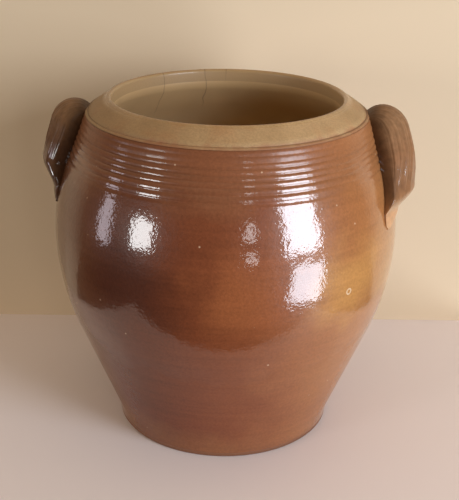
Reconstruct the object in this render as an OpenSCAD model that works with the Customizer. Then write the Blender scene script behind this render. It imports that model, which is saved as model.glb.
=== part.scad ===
// Open stoneware lard pot: a thrown jar with a bevelled collar, turned rings
// on the shoulder, two ribbed strap handles and a glaze coat inside and out.
// Millimetres, +Z up. The origin is on the table under the middle of the foot.
// The right handle points to +X, and the pot's front faces -Y.

/* [Jar] */
// Height from the table to the top of the lip
height = 280; // [252:1:308]
// Diameter of the belly at its widest, over the glaze
belly_d = 281; // [253:1:309]
// Height of the widest point of the belly
belly_z = 170; // [153:1:187]
// Length of the straight lower wall above the foot
cone_l = 88; // [60:1:110]
// Diameter of the foot
foot_d = 183; // [165:1:200]
// Height of the upright band of the foot
foot_h = 12; // [8:0.5:18]
// Bevel at the foot's lower edge
foot_edge = 2.5; // [1:0.5:4]
// Thickness of the wall
wall = 9; // [6:0.5:12]
// Thickness of the floor
floor_t = 11; // [7:0.5:16]
// Radius of the hollow where the floor meets the wall
floor_fillet = 16; // [6:1:30]

/* [Collar] */
// Diameter of the collar's outer edge
collar_d = 226; // [216:1:240]
// Depth of the collar's outer edge under the top of the lip
collar_drop = 13; // [10:0.5:18]
// Rounding of the collar's outer edge
bead_r = 2.4; // [1.5:0.1:3.5]
// Distance of the fine groove from the outer edge, along the bevel
groove_in = 0.8; // [0.4:0.1:3]
// Width of the fine groove
groove_w = 1.8; // [1:0.1:3]
// Depth of the fine groove
groove_t = 0.7; // [0.3:0.1:1.2]
// Diameter of the lip, over its crest
lip_d = 189; // [176:1:196]
// Rounding of the lip
lip_edge_r = 2.6; // [1.5:0.1:4]
// Height of the lip's upright inner face
lip_face_h = 14; // [8:0.5:20]
// Rounding under the lip's inner face
rim_round = 14; // [4:0.5:20]
// Height of the slope under the rim, from the lip's face out to the wall
rim_slope_h = 38; // [30:0.5:46]

/* [Rings] */
// Number of turned rings on the shoulder
ring_n = 8; // [0:1:9]
// Pitch of the rings along the wall
ring_pitch = 4.4; // [3:0.1:4.7]
// Depth of the grooves between the rings
ring_t = 0.9; // [0.3:0.1:1.5]
// Distance from the collar's edge to the first ring
ring_start = 2; // [1:0.5:4]
// Plain straight shoulder under the lowest ring
plain_l = 4.7; // [2:0.1:12]

/* [Handles] */
// Depth of the right strap's root under the collar's edge
right_root_drop = 2.5; // [2:0.5:8]
// Depth of the left strap's root under the collar's edge
left_root_drop = 2; // [2:0.5:8]
// Height of the arch, from the straight side up to the root
arch_l = 14; // [12:0.5:18]
// Depth of the right strap's lower bend under the collar's edge
right_bend_drop = 53; // [48:0.5:56]
// Depth of the left strap's lower bend under the collar's edge
left_bend_drop = 41.5; // [38:0.5:46]
// Depth under the collar's edge at which the right bend is back at the belly
foot_drop = 68; // [66:0.5:74]
// Depth of the right tail's tip under the collar's edge
tip_drop = 77; // [75:0.5:86]
// Width of the straps
strap_w = 40; // [36:1:50]
// Width of the tail at its tip
tip_w = 10; // [6:1:20]
// Stand-off of the right strap's crest from the shoulder, at the arch
right_arch_h = 26; // [22:0.5:30]
// Stand-off of the left strap's crest from the shoulder, at the arch
left_arch_h = 23.5; // [20:0.5:28]
// Squareness of the arch's shoulder, 2 for a round one
arch_square = 2.4; // [2:0.1:4]
// How far the arch's sections fan upwards at the root, in degrees
arch_fan = 34; // [0:1:60]
// Stand-off of the right strap's crest at its lower bend
right_bend_h = 20; // [18:0.5:28]
// Stand-off of the left strap's crest at its lower bend
left_bend_h = 20.5; // [16:0.5:26]
// How far the straps' backs are pressed into the wall
strap_in = 3; // [2:0.5:4]
// Number of ribs along each strap
rib_n = 19; // [5:1:21]
// Height of the ribs
rib_h = 1.1; // [0.3:0.1:1.6]
// Height of the straps' sides, from the wall to their widest point
edge_h = 7; // [3:0.5:12]
// How far each side of the straps draws in from the widest point to the wall
side_in = 4; // [0:0.5:8]
// How much narrower the straps are at their roots
root_in_w = 18; // [0:1:22]
// Rise of the tail over the belly under the bend
foot_over = 4.5; // [3:0.5:8]
// Rise of the tail over the belly at its tip
tip_over = 1.2; // [0.8:0.1:3]
// Height by which the left strap's tail ends above the right one's
left_tail_up = 6; // [0:0.5:8]
// Turn of the right strap's root towards the front, in degrees from +X
right_turn = -6; // [-15:1:15]
// Turn of the right strap's bend towards the front, in degrees from its root
right_lean = 14; // [0:1:18]
// Turn of the left strap's root towards the front, in degrees from -X
left_turn = 8; // [-15:1:15]
// Turn of the left strap's bend towards the front, in degrees from its root
left_lean = 2; // [0:1:16]
// Turn of the tails' tips towards the front, in degrees from the bends
tail_turn = 7; // [-8:1:16]

/* [Glaze] */
// Thickness of the glaze coat
glaze_t = 0.5; // [0.3:0.1:1]
// Height of the bare edge at the foot
glaze_foot_z = 4; // [3:0.5:7]

/* [Hidden] */
$fn = 180;
arc_n = 14;
bead_n = 6;
lip_n = 10;
ring_steps = 6;
rib_steps = 2;
tail_steps = 3;
bend_steps = 7;
side_steps = 3;
arch_steps = 7;
// How far a strap's root runs into the wall before it is trimmed to it
root_in = 5;

foot_r = foot_d / 2;
belly_r = belly_d / 2;
collar_r = collar_d / 2;
collar_z = height - collar_drop;
lip_r = lip_d / 2;
foot_p = [foot_r, foot_h];
collar_p = [collar_r, collar_z];
belly_p = [belly_r, belly_z];

// Straight shoulder, long enough for all the rings
rings_l = ring_start + (ring_n + 0.4) * ring_pitch;
neck_l = rings_l + plain_l;

// Radius of a curve that stands upright at the belly and runs into a straight wall of that length
function curve_r(p, straight) =
    (pow(norm(belly_p - p), 2) - pow(straight, 2)) / (2 * (belly_r - p[0]));
low_arc_r = curve_r(foot_p, cone_l);
top_arc_r = curve_r(collar_p, neck_l);

// Middles of the two curves of the belly
low_c = [belly_r - low_arc_r, belly_z];
top_c = [belly_r - top_arc_r, belly_z];

function dir(a) = [cos(a), sin(a)];

// Direction of the wall's normal where a straight wall from p touches a curve
function touch(c, r, p, side) =
    atan2(p[1] - c[1], p[0] - c[0]) - side * acos(r / norm(p - c));

low_a = touch(low_c, low_arc_r, foot_p, -1);
top_a = touch(top_c, top_arc_r, collar_p, 1);
neck_dir = [-sin(top_a), cos(top_a)];

// Curves of the wall at a depth under its outer surface, foot first
function belly(depth) = concat(
    [for (i = [0:arc_n]) low_c + (low_arc_r - depth) * dir(low_a * (1 - i / arc_n))],
    [for (i = [1:arc_n]) top_c + (top_arc_r - depth) * dir(top_a * i / arc_n)]
);

// Point of the straight shoulder, measured down from the collar
function neck(along, depth) = collar_p - along * neck_dir - depth * dir(top_a);

// Radius of the straight shoulder at a height
function neck_r(z, depth) =
    neck((collar_z - depth * sin(top_a) - z) / cos(top_a), depth)[0];

// Turned rings, lowest first: round beads with a groove between neighbours
function rings(depth) = ring_n == 0 ? [] : concat(
    [neck(rings_l, depth)],
    [for (k = [0:ring_n - 1], i = [0:ring_steps - (k == ring_n - 1 ? 0 : 1)])
        neck(ring_start + (ring_n - k - i / ring_steps) * ring_pitch,
             depth + ring_t * pow(2 * i / ring_steps - 1, 2))],
    [neck(ring_start * 0.3, depth)]
);

// Outer surface of the wall from a height on the foot to the collar's edge
function skin(z0, depth) = concat(
    [[foot_r - depth, z0]],
    [foot_p - depth * [1, tan(low_a / 2)]],
    belly(depth),
    rings(depth),
    [neck(0, depth)]
);

// Direction of the wall's normal, and its radius at a depth, between the foot and the collar
function wall_a(z) =
    z > belly_z ? min(top_a, asin((z - belly_z) / top_arc_r)) : asin((z - belly_z) / low_arc_r);
function wall_r(z, depth = 0) =
    z > top_c[1] + (top_arc_r - depth) * sin(top_a) ? neck_r(z, depth) :
    z > belly_z ? top_c[0] + sqrt(pow(top_arc_r - depth, 2) - pow(z - belly_z, 2)) :
    low_c[0] + sqrt(pow(low_arc_r - depth, 2) - pow(z - belly_z, 2));

// Slope under the rim: from the lip's inner face, round its lower edge and out to the wall
rim_z = height - lip_face_h - rim_slope_h;
lip_in = lip_r - lip_edge_r;
slope_p = [wall_r(rim_z, wall), rim_z];
slope_a = 180 + atan2(slope_p[0] - lip_in, rim_slope_h);
round_c = [lip_in + rim_round, rim_z + rim_slope_h + rim_round * tan((slope_a - 180) / 2)];
slope_in = (dir(slope_a) - dir(wall_a(rim_z))) / (1 - dir(slope_a) * dir(wall_a(rim_z)));
function slope(over) = concat(
    [slope_p + over * slope_in],
    [for (i = [0:bead_n]) round_c + (rim_round + over) * dir(slope_a + (180 - slope_a) * i / bead_n)]
);

// Inner surface of the wall from the axis to the lip's inner face, over the clay by a coat
function floor_c(over) = let (
    r = floor_fillet - over,
    z = floor_t + floor_fillet,
    line = dir(low_a) * foot_p - wall - over
) [(line - r - sin(low_a) * z) / cos(low_a), z, r];
function inside(over) = let (c = floor_c(over)) concat(
    [[0, c[1] - c[2]]],
    [for (i = [0:arc_n]) [c[0], c[1]] + c[2] * dir(-90 + (90 + low_a) * i / arc_n)],
    [for (i = [0:arc_n]) low_c + (low_arc_r - wall - over) * dir(low_a * (1 - i / arc_n))],
    [for (i = [1:arc_n - 1]) let (z = belly_z + (rim_z - belly_z) * i / arc_n)
        [wall_r(z, wall + over), z]],
    slope(over)
);

// Collar and lip: a rounded edge, a fine groove, the bevel and the lip
bead_c = collar_p - bead_r * dir(top_a);
lip_c = [lip_r, height - lip_edge_r];
bevel_v = lip_c - bead_c;
bevel_a = atan2(bevel_v[1], bevel_v[0]) - acos((bead_r - lip_edge_r) / norm(bevel_v));
bevel_dir = [-sin(bevel_a), cos(bevel_a)];
bevel_p = bead_c + bead_r * dir(bevel_a);
rim = concat(
    [for (i = [0:bead_n]) bead_c + bead_r * dir(top_a + (bevel_a - top_a) * i / bead_n)],
    [bevel_p + groove_in * bevel_dir],
    [bevel_p + (groove_in + groove_w / 2) * bevel_dir - groove_t * dir(bevel_a)],
    [bevel_p + (groove_in + groove_w) * bevel_dir],
    [for (i = [0:lip_n]) lip_c + lip_edge_r * dir(bevel_a + (180 - bevel_a) * i / lip_n)]
);

function back(list) = [for (i = [len(list) - 1:-1:0]) list[i]];

foot_edge_pts = [[0, 0], [foot_r - glaze_t - foot_edge, 0], [foot_r - glaze_t, foot_edge]];

// Heights of a strap's sections on the wall, from the tail's tip to the root
function strap_z(root_z, bend_z, foot_z, tip_z) = concat(
    [for (i = [0:tail_steps - 1]) tip_z + (foot_z - tip_z) * i / tail_steps],
    [for (i = [0:bend_steps - 1]) foot_z + (bend_z - foot_z) * i / bend_steps],
    [for (i = [0:side_steps - 1]) bend_z + (root_z - arch_l - bend_z) * i / side_steps],
    [for (i = [0:arch_steps]) root_z - arch_l * (1 - sin(90 * i / arch_steps))]
);

// Stand-off of a strap's crest at a height: tail, bend, straight side and arch
function crest(z, bend_h, arch_h, root_z, bend_z, foot_z, tip_z) =
    z < foot_z ? tip_over + (foot_over - tip_over) * (z - tip_z) / (foot_z - tip_z) :
    z < bend_z ? foot_over + (bend_h - foot_over)
        * (1 - cos(180 * (z - foot_z) / (bend_z - foot_z))) / 2 :
    z < root_z - arch_l ? bend_h + (arch_h - bend_h) * (z - bend_z) / (root_z - arch_l - bend_z) :
    arch_h * pow(max(0, 1 - pow((z - root_z) / arch_l + 1, arch_square)), 1 / arch_square);

// Section of a strap: place across it and stand-off from the wall. It is a half round on two sides
// that draw in to the wall, with ribs all over.
rib_n_pts = rib_n * rib_steps;
section_n = rib_n_pts + 1;
side_share = 0.18;
function rib(j) = let (f = j / rib_steps) 1 - pow(2 * (f - floor(f)) - 1, 2);
function section(half, top, edge, lift) = [for (j = [0:rib_n_pts]) let (
    u = 2 * j / rib_n_pts - 1,
    low = max(0, (abs(u) - 1 + side_share) / side_share),
    a = 90 * sign(u) * min(1, abs(u) / (1 - side_share)),
    rise = lift * rib(j)
) [(half - side_in * half / strap_w * 2 * pow(low, 2) + rise) * sin(a),
    edge + (top - edge + rise) * cos(a) - (edge + strap_in) * low]];

// One strap handle, swept from its tail to its root over the wall
module strap(bend_h, arch_h, root_drop, bend_drop, root_turn, lean, tail_up) {
    root_z = collar_z - root_drop;
    bend_z = collar_z - bend_drop;
    foot_z = collar_z - foot_drop + tail_up;
    tip_z = collar_z - tip_drop + tail_up;
    heights = strap_z(root_z, bend_z, foot_z, tip_z);
    m = section_n;
    last = len(heights) - 1;
    loops = [for (z = heights) let (
        top = crest(z, bend_h, arch_h, root_z, bend_z, foot_z, tip_z),
        share = min(1, top / bend_h),
        down = max(0, bend_z - z) / (bend_z - tip_z),
        up = max(0, 1 - (root_z - z) / arch_l),
        half = max(tip_w / 2, strap_w / 2 * sqrt(1 - down * down) - root_in_w / 2 * up * up),
        turn = root_turn + lean * min(1, (root_z - z) / (root_z - bend_z)) + tail_turn * down,
        n = dir(wall_a(z) + arch_fan * up * up)
    ) [for (s = section(half, top, edge_h * share - strap_in * (1 - share), rib_h * share * (1 - up))) let (
        r = wall_r(z) - root_in * pow(up, 3) + n[0] * s[1]
    ) [r * cos(turn) + s[0] * sin(turn), -r * sin(turn) + s[0] * cos(turn), z + n[1] * s[1]]]];
    sides = [for (i = [0:last - 1], j = [0:m - 1]) let (
        a = i * m + j,
        b = i * m + (j + 1) % m
    ) each [[a, a + m, b], [b, a + m, b + m]]];
    ends = [[for (j = [0:m - 1]) j], [for (j = [m - 1:-1:0]) last * m + j]];
    polyhedron([for (l = loops) each l], concat(sides, ends), convexity = 8);
}
module strap_right() {
    strap(right_bend_h, right_arch_h, right_root_drop, right_bend_drop, right_turn, right_lean, 0);
}
module strap_left() {
    mirror([1, 0, 0])
        strap(left_bend_h, left_arch_h, left_root_drop, left_bend_drop, left_turn, left_lean,
            left_tail_up);
}

// The glazed jar with no hollow, to trim the straps to the wall
module jar_core() {
    rotate_extrude()
        polygon(concat([[0, foot_edge]], skin(foot_edge, 0), rim, [[0, height - lip_face_h]]));
}

// Thrown jar in bare clay
module jar() {
    color("#b59a72")
        rotate_extrude()
            polygon(concat(foot_edge_pts, skin(foot_edge, glaze_t), rim, back(inside(0))));
}

// Brown glaze on the wall, from the bare edge of the foot to the collar
module glaze_outside() {
    color("#9a5228")
        rotate_extrude()
            polygon(concat(skin(glaze_foot_z, 0), back(skin(glaze_foot_z, glaze_t))));
}

// Beige glaze lining of the inside
module glaze_inside() {
    color("#8d7048")
        rotate_extrude()
            polygon(concat(inside(0), back(inside(glaze_t))));
}

// Right handle, trimmed to the wall that it is luted to
module handle_right() {
    color("#8a512e")
        difference() {
            strap_right();
            jar_core();
        }
}

// Left handle, trimmed to the wall that it is luted to
module handle_left() {
    color("#6d422a")
        difference() {
            strap_left();
            jar_core();
        }
}

jar();
glaze_outside();
glaze_inside();
handle_right();
handle_left();
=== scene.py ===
import math

import bmesh
import bpy
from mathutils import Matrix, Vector


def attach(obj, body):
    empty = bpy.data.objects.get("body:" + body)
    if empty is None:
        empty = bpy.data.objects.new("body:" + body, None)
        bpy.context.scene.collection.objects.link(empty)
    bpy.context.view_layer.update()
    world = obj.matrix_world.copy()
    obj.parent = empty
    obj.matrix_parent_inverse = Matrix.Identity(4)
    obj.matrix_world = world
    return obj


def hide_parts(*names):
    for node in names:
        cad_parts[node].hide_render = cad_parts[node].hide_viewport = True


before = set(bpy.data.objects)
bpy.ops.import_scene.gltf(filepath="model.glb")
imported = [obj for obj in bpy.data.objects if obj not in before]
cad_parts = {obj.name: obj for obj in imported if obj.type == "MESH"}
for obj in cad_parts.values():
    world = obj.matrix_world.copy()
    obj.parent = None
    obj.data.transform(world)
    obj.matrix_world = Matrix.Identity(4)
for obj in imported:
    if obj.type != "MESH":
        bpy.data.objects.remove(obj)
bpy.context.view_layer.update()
MM = 0.001

# Jar: the thrown body in grey-beige stoneware, one lump of clay pulled up on the wheel.
# It shows bare at the bevelled collar, the lip and the foot's edge, where it was wiped clean
# before the firing. Everything else of it lies under the two glaze coats.
HEIGHT = 280
WALL = 9
GLAZE = 0.5
FOOT = (91.5, 12)
BELLY = (140.5, 170)
COLLAR = (113, 267)
CONE_L = 88
SHOULDER_L = 43.66
STEPS_ROUND = 256


def curve_r(point, straight):
    """Radius of a curve upright at the belly that runs into a straight wall of that length."""
    dr = BELLY[0] - point[0]
    dz = BELLY[1] - point[1]
    return (dr * dr + dz * dz - straight * straight) / (2 * dr)


def touch(centre, radius, point, side):
    """Direction of the wall's normal where a straight wall from a point touches a curve."""
    dr = point[0] - centre[0]
    dz = point[1] - centre[1]
    return math.degrees(math.atan2(dz, dr) - side * math.acos(radius / math.hypot(dr, dz)))


def polar(centre, radius, degrees):
    """Point of an outline at a distance and a direction from a centre."""
    turn = math.radians(degrees)
    return (centre[0] + radius * math.cos(turn), centre[1] + radius * math.sin(turn))


def arc(centre, radius, start, end, steps):
    """Round stretch of an outline."""
    return [polar(centre, radius, start + (end - start) * i / steps) for i in range(steps + 1)]


def line(start, normal, length, depth=0):
    """Point at a length along a straight wall with that normal, sunk into it by a depth."""
    return polar(polar(start, length, normal + 90), -depth, normal)


LOW_R = curve_r(FOOT, CONE_L)
TOP_R = curve_r(COLLAR, SHOULDER_L)
LOW_C = (BELLY[0] - LOW_R, BELLY[1])
TOP_C = (BELLY[0] - TOP_R, BELLY[1])
LOW_A = touch(LOW_C, LOW_R, FOOT, -1)
TOP_A = touch(TOP_C, TOP_R, COLLAR, 1)


def belly(depth, steps):
    """Lower wall, belly and shoulder at a depth under the glazed surface."""
    low = arc(LOW_C, LOW_R - depth, LOW_A, 0, steps)
    return low + arc(TOP_C, TOP_R - depth, 0, TOP_A, steps)[1:]


def wall_at(z, depth=0):
    """Radius and normal direction of the wall at a height between the foot and the collar."""
    if z > TOP_C[1] + (TOP_R - depth) * math.sin(math.radians(TOP_A)):
        edge = line(COLLAR, TOP_A, 0, depth)
        return line(edge, TOP_A, (z - edge[1]) / math.cos(math.radians(TOP_A)))[0], TOP_A
    centre, radius = (TOP_C, TOP_R - depth) if z > BELLY[1] else (LOW_C, LOW_R - depth)
    rise = z - BELLY[1]
    return centre[0] + math.sqrt(radius ** 2 - rise ** 2), math.degrees(math.asin(rise / radius))


LIP_IN = 91.9
RIM_Z = 228
RIM_RISE = 38
RIM_R = wall_at(RIM_Z, WALL)[0]
SLOPE_A = 180 + math.degrees(math.atan2(RIM_R - LIP_IN, RIM_RISE))
ROUND_R = 14
ROUND_C = (LIP_IN + ROUND_R, RIM_Z + RIM_RISE + ROUND_R * math.tan(math.radians(SLOPE_A - 180) / 2))
FLOOR_ROUND = 16
FLOOR_ROUND_Z = 27
SOFT_Z = 217
SOFT_SHARE = 0.45


def inside(over):
    """Inner surface from the axis to the lip's inner face, over the clay by a coat."""
    lean = math.radians(LOW_A)
    hollow = FLOOR_ROUND - over
    wall = math.cos(lean) * FOOT[0] + math.sin(lean) * FOOT[1] - WALL - over
    centre = ((wall - hollow - math.sin(lean) * FLOOR_ROUND_Z) / math.cos(lean), FLOOR_ROUND_Z)
    points = [(0, FLOOR_ROUND_Z - hollow), (centre[0] / 2, FLOOR_ROUND_Z - hollow)]
    points += arc(centre, hollow, -90, LOW_A, 10)
    points += arc(LOW_C, LOW_R - WALL - over, LOW_A, 0, 24)
    points += [(wall_at(z, WALL + over)[0], z) for z in range(173, SOFT_Z, 4)]
    # The wall runs into the slope under the rim in a soft hollow
    start = (wall_at(SOFT_Z, WALL + over)[0], SOFT_Z)
    corner = (RIM_R - over, RIM_Z)
    end = polar(ROUND_C, ROUND_R + over, SLOPE_A)
    end = tuple(corner[k] + (end[k] - corner[k]) * SOFT_SHARE for k in (0, 1))
    for i in range(9):
        t = i / 8
        points.append(tuple((1 - t) ** 2 * start[k] + 2 * t * (1 - t) * corner[k] + t * t * end[k]
                            for k in (0, 1)))
    return points + arc(ROUND_C, ROUND_R + over, SLOPE_A, 180, 8)


def thrown(name, outline):
    """Turn an outline of radius and height in mm once around the axis, as on the wheel."""
    bpy.ops.object.select_all(action="DESELECT")
    bpy.ops.mesh.primitive_plane_add(size=MM)
    piece = bpy.context.object
    piece.name = piece.data.name = name
    bpy.ops.object.mode_set(mode="EDIT")
    bpy.ops.mesh.select_all(action="SELECT")
    bpy.ops.mesh.merge(type="CENTER")
    bpy.ops.transform.translate(value=(outline[0][0] * MM, 0, outline[0][1] * MM))
    for (r0, z0), (r1, z1) in zip(outline, outline[1:]):
        step = ((r1 - r0) * MM, 0, (z1 - z0) * MM)
        bpy.ops.mesh.extrude_region_move(TRANSFORM_OT_translate={"value": step})
    bpy.ops.mesh.select_all(action="SELECT")
    bpy.ops.mesh.spin(steps=STEPS_ROUND, angle=math.tau, center=(0, 0, 0), axis=(0, 0, 1))
    bpy.ops.mesh.select_all(action="SELECT")
    bpy.ops.mesh.remove_doubles(threshold=0.02 * MM)
    bpy.ops.mesh.normals_make_consistent(inside=False)
    bpy.ops.object.mode_set(mode="OBJECT")
    bpy.ops.object.shade_smooth_by_angle(angle=math.radians(50))
    return piece


def colour(code):
    """Linear colour of an sRGB hex code."""
    parts = [int(code[i:i + 2], 16) / 255 for i in (1, 3, 5)]
    return [p / 12.92 if p <= 0.04045 else ((p + 0.055) / 1.055) ** 2.4 for p in parts] + [1]


def material(name):
    """New material, its node tree and its shader."""
    made = bpy.data.materials.new(name)
    made.use_nodes = True
    return made, made.node_tree, made.node_tree.nodes["Principled BSDF"]


def add(tree, kind, inputs, stops=(), **settings):
    """Add a shader node with its settings, values and links, and the stops of a colour ramp."""
    node = tree.nodes.new("ShaderNode" + kind)
    for number, (at, code) in enumerate(stops):
        ramp = node.color_ramp.elements
        stop = ramp[number] if number < 2 else ramp.new(at)
        stop.position = at
        stop.color = colour(code)
    for key, value in settings.items():
        setattr(node, key, value)
    for key, value in inputs.items():
        if isinstance(value, bpy.types.NodeSocket):
            tree.links.new(value, node.inputs[key])
        else:
            node.inputs[key].default_value = value
    return node


BEAD_R = 2.4
LIP_R = 2.6
BEAD_C = polar(COLLAR, -BEAD_R, TOP_A)
LIP_C = (94.5, HEIGHT - LIP_R)
bevel = (LIP_C[0] - BEAD_C[0], LIP_C[1] - BEAD_C[1])
BEVEL_A = math.degrees(math.atan2(bevel[1], bevel[0]) - math.acos((BEAD_R - LIP_R) / math.hypot(*bevel)))
BEVEL_P = polar(BEAD_C, BEAD_R, BEVEL_A)
CLAY_FOOT_R = 91
FOOT_ROUND = 2.6
GROOVE = ((0.7, 0), (1.3, 0.5), (1.7, 0.7), (2.1, 0.5), (2.7, 0))

clay = [(0, 0), (60, 0)]
clay += arc((CLAY_FOOT_R - FOOT_ROUND, FOOT_ROUND), FOOT_ROUND, -90, 0, 5) + [(CLAY_FOOT_R, 11.8)]
clay += belly(GLAZE + 1, 16) + [line(COLLAR, TOP_A, -1, GLAZE + 1), line(COLLAR, TOP_A, 0, GLAZE)]
clay += arc(BEAD_C, BEAD_R, TOP_A, BEVEL_A, 8)
clay += [line(BEVEL_P, BEVEL_A, x, y) for x, y in GROOVE]
clay += [line(BEVEL_P, BEVEL_A, x) for x in (7, 12, 16)]
clay += arc(LIP_C, LIP_R, BEVEL_A, 180, 12)
jar = thrown("jar_clay", clay + inside(0)[::-1])


def relief(tree, place, layers):
    """Surface normal of a skin with layers of bumps: how many to the metre, and their height in mm."""
    height = 0
    for scale, tall in layers:
        bumps = add(tree, "TexNoise", {"Vector": place, "Scale": scale, "Detail": 2})
        height = add(tree, "Math", {0: bumps.outputs["Fac"], 1: tall * MM, 2: height},
                     operation="MULTIPLY_ADD").outputs[0]
    return add(tree, "Bump", {"Height": height, "Strength": 1, "Distance": 1}).outputs["Normal"]


def hairlines(tree, place, tone):
    """Colour darkened along the three hairline cracks that run down inside from the back of the lip."""
    axes = add(tree, "SeparateXYZ", {"Vector": place})
    drift = add(tree, "TexNoise", {"Vector": place, "Scale": 50, "Detail": 2})
    behind = add(tree, "MapRange", {"Value": axes.outputs["Y"], 1: 0.02, 2: 0.03})
    for turn, low in ((225.5, 0.236), (201.5, 0.24), (189.8, 0.268)):
        across = (math.cos(math.radians(turn)), math.sin(math.radians(turn)), 0)
        aside = add(tree, "VectorMath", {0: place, 1: across}, operation="DOT_PRODUCT").outputs["Value"]
        aside = add(tree, "Math", {0: drift.outputs["Fac"], 1: 0.008, 2: aside}, operation="MULTIPLY_ADD")
        aside = add(tree, "Math", {0: aside.outputs[0], 1: 0.004, 2: 0.0005}, operation="COMPARE")
        fade = add(tree, "MapRange", {"Value": axes.outputs["Z"], 1: low, 2: low + 0.012, 3: 0, 4: 0.35})
        share = add(tree, "Math", {0: aside.outputs[0], 1: fade.outputs[0]}, operation="MULTIPLY")
        share = add(tree, "Math", {0: share.outputs[0], 1: behind.outputs[0]}, operation="MULTIPLY")
        tone = add(tree, "Mix", {0: share.outputs[0], 6: tone, 7: colour("#3a2a18")},
                   data_type="RGBA").outputs[2]
    return tone


# Stoneware: warm beige clay with a dry, sandy skin, orange flashes and soft darker clouds. The
# brown glaze laps raggedly over the collar's edge and stains the foot's edge. The clouds are about
# 33 mm wide, the flashes 18 mm and the grains of sand 1.4 mm.
stoneware, tree, shader = material("stoneware")
place = add(tree, "TexCoord", {}).outputs["Object"]
axes = add(tree, "SeparateXYZ", {"Vector": place})
cloud = add(tree, "TexNoise", {"Vector": place, "Scale": 30, "Detail": 5})
flash = add(tree, "TexNoise", {"Vector": place, "Scale": 55, "Detail": 4})
sand = add(tree, "TexNoise", {"Vector": place, "Scale": 700, "Detail": 2})
tone = add(tree, "Mix", {0: cloud.outputs["Fac"], 6: colour("#88683f"), 7: colour("#b8966a")},
           data_type="RGBA").outputs[2]
warm = add(tree, "MapRange", {"Value": flash.outputs["Fac"], 1: 0.52, 2: 0.72, 3: 0, 4: 0.3})
tone = add(tree, "Mix", {0: warm.outputs[0], 6: tone, 7: colour("#a3683a")}, data_type="RGBA").outputs[2]
grain = add(tree, "MapRange", {"Value": sand.outputs["Fac"], 1: 0.35, 2: 0.65, 3: 0.86, 4: 1.06})
tone = add(tree, "Mix", {0: 1, 6: tone, 7: grain.outputs[0]}, data_type="RGBA",
           blend_type="MULTIPLY").outputs[2]
# Painted shade: the clay is darkened by up to 40 % towards the left side, for the shade that falls on that
# side of the collar.
painted_left_shade = add(tree, "MapRange", {"Value": axes.outputs["X"], 1: -0.1, 2: 0.03, 3: 0.4, 4: 0})
tone = add(tree, "Mix", {0: painted_left_shade.outputs[0], 6: tone, 7: colour("#5f4930")}, data_type="RGBA").outputs[2]
flat = add(tree, "VectorMath", {0: place, 1: (1, 1, 0)}, operation="MULTIPLY")
radius = add(tree, "VectorMath", {0: flat.outputs[0]}, operation="LENGTH")
inner = add(tree, "MapRange", {"Value": radius.outputs["Value"], 1: 0.0922, 2: 0.0935, 3: 0.9, 4: 0})
tone = add(tree, "Mix", {0: inner.outputs[0], 6: tone, 7: colour("#a5875f")}, data_type="RGBA").outputs[2]
tone = hairlines(tree, place, tone)
outer = add(tree, "MapRange", {"Value": radius.outputs["Value"], 1: 0.100, 2: 0.101})
ragged = add(tree, "TexNoise", {"Vector": place, "Scale": 110, "Detail": 5})
edge = add(tree, "Math", {0: ragged.outputs["Fac"], 1: -0.007, 2: axes.outputs["Z"]},
           operation="MULTIPLY_ADD")
lap = add(tree, "MapRange", {"Value": edge.outputs[0], 1: 0.2635, 2: 0.2668, 3: 0.9, 4: 0})
lap = add(tree, "Math", {0: lap.outputs[0], 1: outer.outputs[0]}, operation="MULTIPLY")
front = add(tree, "MapRange", {"Value": axes.outputs["X"], 1: -0.085, 2: -0.05})
lap = add(tree, "Math", {0: lap.outputs[0], 1: front.outputs[0]}, operation="MULTIPLY")
# Darker along the groove in the collar.
groove = add(tree, "Math", {0: radius.outputs["Value"], 1: 0.1109, 2: 0.0005}, operation="COMPARE")
groove_darkening = add(tree, "Math", {0: groove.outputs[0], 1: 0.45}, operation="MULTIPLY")
tone = add(tree, "Mix", {0: groove_darkening.outputs[0], 6: tone, 7: colour("#4a3420")}, data_type="RGBA").outputs[2]
tone = add(tree, "Mix", {0: lap.outputs[0], 6: tone, 7: colour("#8a5a38")}, data_type="RGBA").outputs[2]
stain = add(tree, "MapRange", {"Value": axes.outputs["Z"], 1: 0.006, 2: 0.01, 3: 1, 4: 0})
tone = add(tree, "Mix", {0: stain.outputs[0], 6: tone, 7: colour("#70462c")}, data_type="RGBA").outputs[2]
skin = relief(tree, place, ((60, 0.4), (700, 0.12)))
gloss = add(tree, "MapRange", {"Value": axes.outputs["Z"], 1: 0.2765, 2: 0.279, 3: 0.6, 4: 0.18})
tree.links.new(tone, shader.inputs["Base Color"])
tree.links.new(skin, shader.inputs["Normal"])
tree.links.new(gloss.outputs[0], shader.inputs["Roughness"])
jar.data.materials.append(stoneware)
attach(jar, "root")
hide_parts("jar")

# Outside glaze: the glossy red-brown salt glaze of the wall, from just above the foot's edge to
# the collar. It follows the turned rings of the shoulder, and the fire left darker, orange and
# ochre clouds in it.
RINGS = (0.6, 4.3, 8.9, 13.4, 18.0, 22.3, 26.7, 31.9, 37.4)
SHALLOW = 0.3
DEEP = 0.65
BACK = GLAZE + 0.9
face = [(91.2, 4.2), (91.5, 4.8), (91.5, 10)] + belly(0, 40)
face += [line(COLLAR, TOP_A, -x) for x in (41, 39.5)]
for low, high in list(zip(RINGS[1:], RINGS))[::-1]:
    deep = SHALLOW if low < 9 else DEEP
    for i in range(10):
        dip = deep * (i / 5 - 1) ** 2
        face.append(line(COLLAR, TOP_A, -low + (low - high) * i / 10, dip))
face += [line(COLLAR, TOP_A, -0.6, SHALLOW), line(COLLAR, TOP_A, -0.2, 0)]
back = [line(COLLAR, TOP_A, -0.2, GLAZE), line(COLLAR, TOP_A, -1, BACK)]
back += belly(BACK, 12)[::-1] + [(91.1, 11.8), (91.1, 4.2)]
glaze_outside = thrown("glaze_outside_coat", face + back + face[:1])

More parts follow.
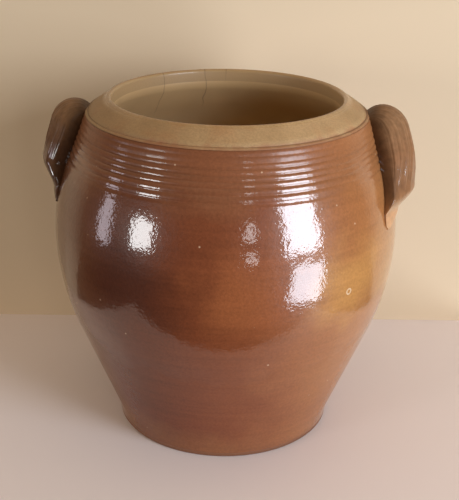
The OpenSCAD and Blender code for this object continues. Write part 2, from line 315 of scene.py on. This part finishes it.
# Brown salt glaze: wet gloss over a fine orange-peel skin. The fire left it dark on one side,
# red-brown in front and tan to ochre on the other, in soft clouds. The wheel lines lie about 4 mm
# apart, the mottle is 2 mm wide, and pale specks up to 1.7 mm wide lie in cells of 18 mm.
brown_glaze, tree, shader = material("brown_salt_glaze")
place = add(tree, "TexCoord", {}).outputs["Object"]
drift = add(tree, "TexNoise", {"Vector": place, "Scale": 22, "Detail": 3})
DRIFT = 0.06
shift = add(tree, "VectorMath", {0: drift.outputs["Color"], 1: [DRIFT] * 3, 2: [-DRIFT / 2] * 3},
            operation="MULTIPLY_ADD")
warped = add(tree, "VectorMath", {0: place, 1: shift.outputs[0]}, operation="ADD").outputs[0]
side = add(tree, "VectorMath", {0: warped, 1: (0.988, 0.156, 0)}, operation="DOT_PRODUCT")
side = add(tree, "MapRange", {"Value": side.outputs["Value"], 1: -0.14, 2: 0.14})
tone = add(tree, "ValToRGB", {"Fac": side.outputs[0]}, stops=(
    (0.0, "#5c3822"), (1.0, "#a67444"), (0.12, "#683f28"), (0.28, "#63331d"), (0.42, "#6d3921"),
    (0.56, "#753f24"), (0.7, "#875130"), (0.85, "#966037"))).outputs["Color"]
for spot, reach, code in (
    ((-0.050, -0.128, 0.168), 0.056, "#4f291b"),
    ((0.036, -0.134, 0.168), 0.050, "#8a4e2c"),
    ((0.109, -0.084, 0.164), 0.046, "#ad7a43"),
):
    away = add(tree, "VectorMath", {0: warped, 1: spot}, operation="DISTANCE")
    fade = add(tree, "MapRange", {"Value": away.outputs["Value"], 1: reach * 0.2, 2: reach, 3: 0.9, 4: 0},
               interpolation_type="SMOOTHSTEP")
    tone = add(tree, "Mix", {0: fade.outputs[0], 6: tone, 7: colour(code)}, data_type="RGBA").outputs[2]
height = add(tree, "SeparateXYZ", {"Vector": warped}).outputs["Z"]
foot = add(tree, "MapRange", {"Value": height, 1: 0.03, 2: 0.002, 3: 0, 4: 0.4})
tone = add(tree, "Mix", {0: foot.outputs[0], 6: tone, 7: colour("#8a5c38")}, data_type="RGBA").outputs[2]
upper = add(tree, "MapRange", {"Value": height, 1: 0.222, 2: 0.24, 3: 0, 4: 0.4})
tone = add(tree, "Mix", {0: upper.outputs[0], 6: tone, 7: colour("#85583a")}, data_type="RGBA").outputs[2]
wheel = add(tree, "Mapping", {"Vector": place, "Scale": (12, 12, 260)})
lines = add(tree, "TexNoise", {"Vector": wheel.outputs[0], "Scale": 1, "Detail": 3})
mottle = add(tree, "TexNoise", {"Vector": place, "Scale": 520, "Detail": 3})
for pattern, low, high in ((lines, 0.92, 1.07), (mottle, 0.88, 1.1)):
    share = add(tree, "MapRange", {"Value": pattern.outputs["Fac"], 1: 0.3, 2: 0.7, 3: low, 4: high})
    tone = add(tree, "Mix", {0: 1, 6: tone, 7: share.outputs[0]},
               data_type="RGBA", blend_type="MULTIPLY").outputs[2]
skin = relief(tree, place, ((45, 0.25), (180, 0.08), (450, 0.11)))
specks = add(tree, "TexVoronoi", {"Vector": place, "Scale": 55})
dot = add(tree, "MapRange", {"Value": specks.outputs["Distance"], 1: 0.03, 2: 0.048, 3: 0.6, 4: 0})
tone = add(tree, "Mix", {0: dot.outputs[0], 6: tone, 7: colour("#c9a888")}, data_type="RGBA").outputs[2]
# A small burst blister, drawn as a pale ring
away = add(tree, "VectorMath", {0: place, 1: (0.1075, -0.089, 0.157)}, operation="DISTANCE")
ring = add(tree, "Math", {0: away.outputs["Value"], 1: 0.0022, 2: 0.0006}, operation="COMPARE")
ring = add(tree, "Math", {0: ring.outputs[0], 1: 0.5}, operation="MULTIPLY")
tone = add(tree, "Mix", {0: ring.outputs[0], 6: tone, 7: colour("#e0c8a8")}, data_type="RGBA").outputs[2]
wet = add(tree, "MapRange", {"Value": height, 1: 0.246, 2: 0.258, 3: 1, 4: 0.15})
tree.links.new(tone, shader.inputs["Base Color"])
tree.links.new(wet.outputs[0], shader.inputs["Coat Weight"])
sheen = add(tree, "MapRange", {"Value": height, 1: 0.09, 2: 0.15, 3: 0, 4: 0.25})
tree.links.new(sheen.outputs[0], shader.inputs["Specular IOR Level"])
for socket in ("Normal", "Coat Normal"):
    tree.links.new(skin, shader.inputs[socket])
shader.inputs["Roughness"].default_value = 0.35
shader.inputs["Coat IOR"].default_value = 1.57
shader.inputs["Coat Roughness"].default_value = 0.03
glaze_outside.data.materials.append(brown_glaze)
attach(glaze_outside, "root")
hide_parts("glaze_outside")

# Inside glaze: the thin beige glaze of the inside, poured in and swirled round before the firing.
# It runs from the floor up to the rim, where it thins out to nothing on the clay.
SUNK_IN = 0.1
thinning = []
for i in range(8):
    thinning.append(polar(ROUND_C, ROUND_R + GLAZE * (1 - i / 8), SLOPE_A + (180 - SLOPE_A) * i / 8))
lining = inside(-SUNK_IN) + thinning[::-1] + inside(GLAZE)[-10::-1]
glaze_inside = thrown("glaze_inside_coat", lining + lining[:1])

# Beige glaze: satin tan lining in soft clouds about 70 mm wide, with painted light making it paler towards
# the floor.
beige_glaze, tree, shader = material("beige_glaze")
place = add(tree, "TexCoord", {}).outputs["Object"]
cloud = add(tree, "TexNoise", {"Vector": place, "Scale": 14, "Detail": 3})
tone = add(tree, "Mix", {0: cloud.outputs["Fac"], 6: colour("#a6875d"), 7: colour("#caa97b")},
           data_type="RGBA").outputs[2]
axes = add(tree, "SeparateXYZ", {"Vector": place})
# Painted light: the lining is mixed paler going down to the floor, to lighten the deep inside that lies in
# shadow.
deep = add(tree, "MapRange", {"Value": axes.outputs["Z"], 1: 0.245, 2: 0.19, 3: 0, 4: 0.75})
tone = add(tree, "Mix", {0: deep.outputs[0], 6: tone, 7: colour("#e0c8a0")}, data_type="RGBA").outputs[2]
tone = hairlines(tree, place, tone)
tree.links.new(tone, shader.inputs["Base Color"])
shader.inputs["Roughness"].default_value = 0.45
glaze_inside.data.materials.append(beige_glaze)
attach(glaze_inside, "root")
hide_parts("glaze_inside")

# Right handle: a strap of the same clay with ribs drawn along it, arched out from under the collar
# and wiped down on to the belly with the thumb. It is twisted a little near its lower bend, stands
# on the wall without a gap, and is glazed with it.
ARCH_L = 14
ARCH_POWER = 2.4
TAIL_L = 9
TAIL_H = 4.5
TAIL_TURN = 7
TIP_H = 1.2
STRAP_W = 40
LEAST_HALF = 5
ROOT_NARROW = 9
ROOT_IN = 5
ROOT_TILT = 34
EDGE_H = 7
LEAST_EDGE = 0.6
SUNK = 3
RIBS = 19
RIB_STEPS = 6
RIB_TALL = 0.8
RIB_LOW = 0.2
SIDE = 0.18


def strap_loops(side, root_z, bend_z, tip_z, arch_h, bend_h, bulge, wring, turn, lean):
    """Closed ribbed sections of a strap in metres, from the tail's tip up to the root.

    The crest swells by the bulge between bend and arch, and the wring twists it near the bend.
    The turn swings the strap round the wall in degrees, and the lean adds to it going down.
    """
    foot_z = tip_z + TAIL_L
    heights = [tip_z + TAIL_L * i / 8 for i in range(8)]
    heights += [foot_z + (bend_z - foot_z) * i / 18 for i in range(18)]
    heights += [bend_z + (root_z - ARCH_L - bend_z) * i / 12 for i in range(12)]
    heights += [root_z - ARCH_L * (1 - math.sin(math.pi / 2 * i / 18)) for i in range(19)]
    loops = []
    for z in heights:
        if z < foot_z:
            top = TIP_H + (TAIL_H - TIP_H) * (z - tip_z) / TAIL_L
        elif z < bend_z:
            t = (z - foot_z) / (bend_z - foot_z)
            top = TAIL_H + (bend_h - TAIL_H) * (1 - math.cos(math.pi * t)) / 2
        elif z < root_z - ARCH_L:
            t = (z - bend_z) / (root_z - ARCH_L - bend_z)
            top = bend_h + (arch_h - bend_h) * t + bulge * math.sin(math.pi * t)
        else:
            top = arch_h * max(0, 1 - ((z - root_z) / ARCH_L + 1) ** ARCH_POWER) ** (1 / ARCH_POWER)
        share = min(1, top / bend_h)
        down = max(0, bend_z - z) / (bend_z - tip_z)
        up = max(0, 1 - (root_z - z) / ARCH_L)
        half = max(LEAST_HALF, STRAP_W / 2 * math.sqrt(1 - down * down) - ROOT_NARROW * up * up)
        swing = math.radians(turn + lean * min(1, (root_z - z) / (root_z - bend_z)) + TAIL_TURN * down)
        wall_r, wall_a = wall_at(z)
        tilt = math.radians(wall_a + ROOT_TILT * up * up)
        edge = max(LEAST_EDGE, EDGE_H * share - SUNK * (1 - share))
        filled = min(1, max(0.2, (z - bend_z) / 10))
        twist = 0.3 + wring * min(1, max(0, (bend_z + 22 - z) / 20))
        placed = []
        for j in range(RIBS * RIB_STEPS + 1):
            u = 2 * j / (RIBS * RIB_STEPS) - 1
            low = max(0, (abs(u) - 1 + SIDE) / SIDE)
            across = math.copysign(math.pi / 2 * min(1, abs(u) / (1 - SIDE)), u)
            tall = RIB_TALL if j // RIB_STEPS % 2 else RIB_LOW
            rib = share * filled * (1 - 0.6 * up * up) * tall
            rib *= (1 - (2 * ((j / RIB_STEPS) % 1) - 1) ** 2) * math.cos(across) ** 0.5
            w = (half * (1 - 0.2 * low * low) + rib) * math.sin(across)
            skew = (1 + twist * math.sin(across)) / (1 + twist * twist / 2)
            off = edge + (top - edge + rib) * math.cos(across) * skew - (edge + SUNK) * low
            r = wall_r - ROOT_IN * up ** 3 + math.cos(tilt) * off
            x = r * math.cos(swing) + w * math.sin(swing)
            y = -r * math.sin(swing) + w * math.cos(swing)
            placed.append(Vector((side * x, y, z + math.sin(tilt) * off)) * MM)
        loops.append(placed)
    return loops


def pulled(name, loops):
    """Pull a strap out of its tail's end face, one extrusion for each section."""
    bpy.ops.object.select_all(action="DESELECT")
    bpy.ops.mesh.primitive_circle_add(vertices=len(loops[0]), radius=5 * MM, fill_type="NGON")
    piece = bpy.context.object
    piece.name = piece.data.name = name
    bpy.ops.object.mode_set(mode="EDIT")
    bpy.ops.mesh.select_mode(type="FACE")
    bpy.ops.mesh.select_all(action="SELECT")
    mesh = bmesh.from_edit_mesh(piece.data)
    for number, loop in enumerate(loops):
        if number:
            bpy.ops.mesh.extrude_region_move()
            mesh = bmesh.from_edit_mesh(piece.data)
        end = next(face for face in mesh.faces if face.select)
        for vertex, spot in zip(end.verts, loop):
            vertex.co = spot
        bmesh.update_edit_mesh(piece.data)
    bpy.ops.mesh.select_mode(type="VERT")
    bpy.ops.mesh.select_all(action="SELECT")
    bpy.ops.mesh.remove_doubles(threshold=0.01 * MM)
    bpy.ops.mesh.normals_make_consistent(inside=False)
    bpy.ops.object.mode_set(mode="OBJECT")
    bpy.ops.object.shade_smooth_by_angle(angle=math.radians(60))
    # How far each point stands out from the wall, for the painted shade in the crease next to the wall
    stand = piece.data.attributes.new("stand", "FLOAT", "POINT")
    for number, vertex in enumerate(piece.data.vertices):
        x, y, z = vertex.co / MM
        stand.data[number].value = math.hypot(x, y) - wall_at(z)[0]
    return piece


handle_right = pulled("handle_right_strap", strap_loops(1, 264.5, 214, 190, 26, 20, 1.2, 0.5, -6, 14))

# Handle glaze: the same brown glaze, drier and greyer on the ribs, wet and tan where it ran down
# to the tails, and darkened next to the wall by painted shade. Its mottle is about 5 mm wide.
handle_glaze, tree, shader = material("handle_brown_glaze")
place = add(tree, "TexCoord", {}).outputs["Object"]
axes = add(tree, "SeparateXYZ", {"Vector": place})
side = add(tree, "MapRange", {"Value": axes.outputs["X"], 1: -0.14, 2: 0.14})
upper = add(tree, "Mix", {0: side.outputs[0], 6: colour("#5a3a24"), 7: colour("#81593a")}, data_type="RGBA")
lower = add(tree, "Mix", {0: side.outputs[0], 6: colour("#4a2d1c"), 7: colour("#b88457")}, data_type="RGBA")
rise = add(tree, "MapRange", {"Value": axes.outputs["Z"], 1: 0.198, 2: 0.222},
           interpolation_type="SMOOTHSTEP")
tone = add(tree, "Mix", {0: rise.outputs[0], 6: lower.outputs[2], 7: upper.outputs[2]}, data_type="RGBA")
dry = add(tree, "MapRange", {"Value": axes.outputs["Z"], 1: 0.24, 2: 0.268, 3: 0, 4: 0.55})
tone = add(tree, "Mix", {0: dry.outputs[0], 6: tone.outputs[2], 7: colour("#87684a")}, data_type="RGBA")
stand = add(tree, "Attribute", {}, attribute_name="stand").outputs["Fac"]
# Painted shade: above its tail the strap is darkened where it stands less than 15 mm out from the wall, for
# the shade in the crease between strap and wall.
painted_crease_shade = add(tree, "MapRange", {"Value": stand, 1: 4, 2: 15, 3: 0.6, 4: 0})
painted_crease_shade = add(tree, "Math", {0: painted_crease_shade.outputs[0], 1: rise.outputs[0]}, operation="MULTIPLY")
tone = add(tree, "Mix", {0: painted_crease_shade.outputs[0], 6: tone.outputs[2], 7: colour("#2e1c10")}, data_type="RGBA")
mottle = add(tree, "TexNoise", {"Vector": place, "Scale": 200, "Detail": 4})
share = add(tree, "MapRange", {"Value": mottle.outputs["Fac"], 1: 0.3, 2: 0.7, 3: 0.8, 4: 1.15})
tone = add(tree, "Mix", {0: 1, 6: tone.outputs[2], 7: share.outputs[0]},
           data_type="RGBA", blend_type="MULTIPLY")
wet = add(tree, "MapRange", {"Value": axes.outputs["Z"], 1: 0.234, 2: 0.244, 3: 1, 4: 0})
skin = relief(tree, place, ((45, 0.25), (180, 0.08), (450, 0.11)))
tree.links.new(tone.outputs[2], shader.inputs["Base Color"])
tree.links.new(wet.outputs[0], shader.inputs["Coat Weight"])
for socket in ("Normal", "Coat Normal"):
    tree.links.new(skin, shader.inputs[socket])
shader.inputs["Roughness"].default_value = 0.45
shader.inputs["Specular IOR Level"].default_value = 0.15
shader.inputs["Coat IOR"].default_value = 1.6
shader.inputs["Coat Roughness"].default_value = 0.05
handle_right.data.materials.append(handle_glaze)
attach(handle_right, "root")
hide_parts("handle_right")

# Left handle: the second strap of the same clay, pulled, pressed on and glazed like the right one.
# It was set on by eye, so it is shorter and turned further to the front.
handle_left = pulled("handle_left_strap", strap_loops(-1, 265, 225.5, 196, 23.5, 20, 0, -0.2, 8, 2))
handle_left.data.materials.append(handle_glaze)
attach(handle_left, "root")
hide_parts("handle_left")

# Floor and backdrop: a small pale table top and a plain warm wall, both only for the picture.
VIEW_TURN = math.radians(9)
FLOOR_FORWARD = 0.0225
BACKDROP_AWAY = 0.17
bpy.ops.object.select_all(action="DESELECT")
bpy.ops.mesh.primitive_plane_add(size=1, rotation=(0, 0, VIEW_TURN))
floor = bpy.context.object
floor.name = "floor"
floor.scale = (0.56, 0.385, 1)
floor.location = Vector((FLOOR_FORWARD * math.sin(VIEW_TURN), -FLOOR_FORWARD * math.cos(VIEW_TURN), 0))
floor_paint, tree, shader = material("pale_floor")
shader.inputs["Base Color"].default_value = colour("#e6dcda")
shader.inputs["Roughness"].default_value = 0.6
floor.data.materials.append(floor_paint)

bpy.ops.object.select_all(action="DESELECT")
bpy.ops.mesh.primitive_plane_add(size=3, rotation=(math.pi / 2, 0, VIEW_TURN))
wall = bpy.context.object
wall.name = "backdrop"
wall.location = Vector((-BACKDROP_AWAY * math.sin(VIEW_TURN), BACKDROP_AWAY * math.cos(VIEW_TURN), 1.4))
wall_paint, tree, shader = material("pale_backdrop")
shader.inputs["Base Color"].default_value = colour("#cbb596")
shader.inputs["Roughness"].default_value = 0.8
back_side = add(tree, "NewGeometry", {}).outputs["Backfacing"]
along = add(tree, "SeparateXYZ", {"Vector": add(tree, "TexCoord", {}).outputs["Object"]}).outputs["X"]
along = add(tree, "Math", {0: along}, operation="ABSOLUTE").outputs[0]
ends = add(tree, "MapRange", {"Value": along, 1: 0.28, 2: 1.2}, interpolation_type="SMOOTHSTEP")
gone = add(tree, "Math", {0: back_side, 1: ends.outputs[0]}, operation="MAXIMUM")
clear = add(tree, "BsdfTransparent", {})
seen = add(tree, "MixShader", {0: gone.outputs[0], 1: shader.outputs[0], 2: clear.outputs[0]})
tree.links.new(seen.outputs[0], tree.nodes["Material Output"].inputs["Surface"])
wall.data.materials.append(wall_paint)

# Lamps: soft windows, placed by direction from the pot in degrees from the front and the level.
LAMP_AWAY = 2.5
AIM = Vector((0, 0, 0.19))
for name, turn, rise, width, tall, power, tint in (
    ("window_right", 58, 11, 1.0, 1.34, 71, "#e8f1ff"),
    ("window_right_low", 62, -20, 0.9, 0.9, 31, "#e8f1ff"),
    ("window_left", -44.5, 4, 0.62, 0.7, 18, "#ffffff"),
    ("window_far_left", -73.5, 2, 0.4, 0.9, 5, "#eee6f2"),
    ("window_front", 24.5, 12, 0.22, 0.46, 1.9, "#ffffff"),
    ("window_front_low", 24.5, -4, 0.22, 0.25, 1, "#ffffff"),
):
    across = math.radians(turn)
    lift = math.radians(rise)
    way = Vector((math.sin(across) * math.cos(lift), -math.cos(across) * math.cos(lift), math.sin(lift)))
    bpy.ops.object.light_add(type="AREA", location=way * LAMP_AWAY + AIM)
    lamp = bpy.context.object
    lamp.name = name
    lamp.data.shape = "RECTANGLE"
    lamp.data.size = width
    lamp.data.size_y = tall
    lamp.data.energy = power
    lamp.data.color = colour(tint)[:3]
    lamp.rotation_euler = way.to_track_quat("Z", "Y").to_euler()

# Room: dim and warm, lighter overhead, and dimmer still where the glaze mirrors it.
world = bpy.data.worlds.new("room")
world.use_nodes = True
tree = world.node_tree
way = add(tree, "SeparateXYZ", {"Vector": add(tree, "TexCoord", {}).outputs["Generated"]})
level = add(tree, "MapRange", {"Value": way.outputs["Z"], 1: -1, 2: 1})
room = add(tree, "ValToRGB", {"Fac": level.outputs[0]}, stops=(
    (0.0, "#18110b"), (1.0, "#f0d8ba"), (0.5, "#2a1f16"), (0.56, "#463a2d"), (0.75, "#9c8668")))
tree.links.new(room.outputs["Color"], tree.nodes["Background"].inputs["Color"])
mirror = add(tree, "LightPath", {}).outputs["Is Glossy Ray"]
dim = add(tree, "MapRange", {"Value": mirror, 3: 1, 4: 0.35})
tree.links.new(dim.outputs[0], tree.nodes["Background"].inputs["Strength"])
bpy.context.scene.world = world

# Camera: in front of the pot, a little above the rim, looking down on the collar.
bpy.ops.object.camera_add(location=(0.1244, -0.7853, 0.4708),
                          rotation=[math.radians(a) for a in (67.7796, -0.8559, 9.0996)])
camera = bpy.context.object
camera.data.sensor_fit = "VERTICAL"
camera.data.sensor_height = 24
camera.data.lens = 48.737
bpy.context.scene.camera = camera
bpy.context.scene.view_settings.view_transform = "Standard"
